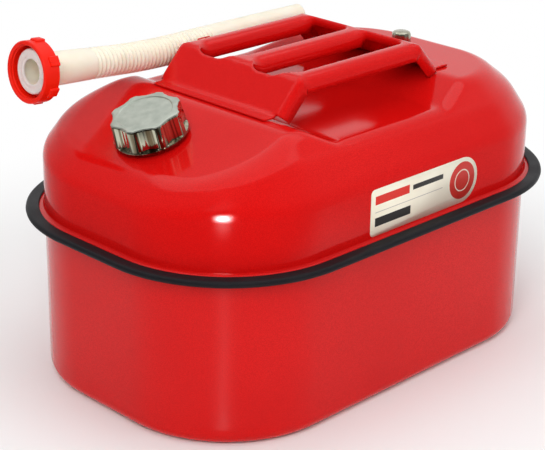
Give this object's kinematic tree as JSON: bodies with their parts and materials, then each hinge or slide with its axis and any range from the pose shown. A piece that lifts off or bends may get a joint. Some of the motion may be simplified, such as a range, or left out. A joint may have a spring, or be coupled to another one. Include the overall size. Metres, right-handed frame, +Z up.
{
  "type": "fuel can",
  "caption": "Low steel fuel can with a seam trim, three-bar handle, screw cap on a sloped deck, vent screw and a flexible pouring spout clipped behind the handle.",
  "frame": {"origin": "middle of the base, on the surface it stands on", "axes": "+X along the can from the filler end to the vent end, +Y towards the side with the stored spout, +Z up"},
  "size_m": [0.44, 0.296, 0.2805],
  "materials": {
    "can_paint": "gloss red paint",
    "trim": "soft black vinyl",
    "label_film": "blank satin film",
    "neck_steel": "painted turned steel",
    "seal": "matt black rubber",
    "pale_seal": "pale soft seal",
    "thread_ring": "cast alloy",
    "cap_chrome": "bright plated",
    "spout_poly": "milky moulded polyethylene",
    "nut_poly": "moulded red plastic"
  },
  "bodies": {
    "can": {"lower_shell": "can_paint", "upper_shell": "can_paint", "edge_trim": "trim", "handle": "can_paint", "spout_clip": "can_paint", "label": "label_film", "filler_neck": "neck_steel", "vent_boss": "neck_steel"},
    "cap_seal": {"cap_gasket": "seal"},
    "cap": {"cap_thread_ring": "thread_ring", "cap_shell": "cap_chrome"},
    "vent_seal": {"vent_gasket": "seal"},
    "vent": {"vent_screw": "cap_chrome"},
    "spout": {"spout_tip": "spout_poly", "spout_bellows": "spout_poly"},
    "spout_head": {"spout_funnel": "spout_poly", "spout_gasket": "pale_seal"},
    "spout_nut": {"spout_nut": "nut_poly"}
  },
  "joints": [
    {"name": "cap_rise", "type": "slide", "parent": "can", "child": "cap_seal", "axis": [-0.309, 0, 0.9511], "range_m": [0, 0.01]},
    {"name": "cap_turn", "type": "hinge", "parent": "cap_seal", "child": "cap", "pos_m": [-0.1515, 0, 0.21224], "axis": [-0.309, 0, 0.9511], "range_deg": [0, 900]},
    {"name": "vent_rise", "type": "slide", "parent": "can", "child": "vent_seal", "axis": [0, 0, 1], "range_m": [0, 0.00375]},
    {"name": "vent_turn", "type": "hinge", "parent": "vent_seal", "child": "vent", "pos_m": [0.131, 0, 0.228], "axis": [0, 0, 1], "range_deg": [0, 1080]},
    {"name": "spout_lift", "type": "slide", "parent": "can", "child": "spout", "axis": [0, 0, 1], "range_m": [0, 0.12]},
    {"name": "spout_bend", "type": "hinge", "parent": "spout", "child": "spout_head", "pos_m": [-0.08, 0.083, 0.245], "axis": [0, 1, 0], "range_deg": [-12, 60], "deforming": ["spout_bellows"]},
    {"name": "nut_spin", "type": "hinge", "parent": "spout_head", "child": "spout_nut", "pos_m": [-0.08, 0.083, 0.245], "axis": [-0.9962, 0, 0.0872], "continuous": true}
  ],
  "couplings": [
    {"joint": "cap_rise", "follows": "cap_turn", "m_per_rad": 0.00063662},
    {"joint": "vent_turn", "follows": "vent_rise", "rad_per_m": 5026.5}
  ]
}
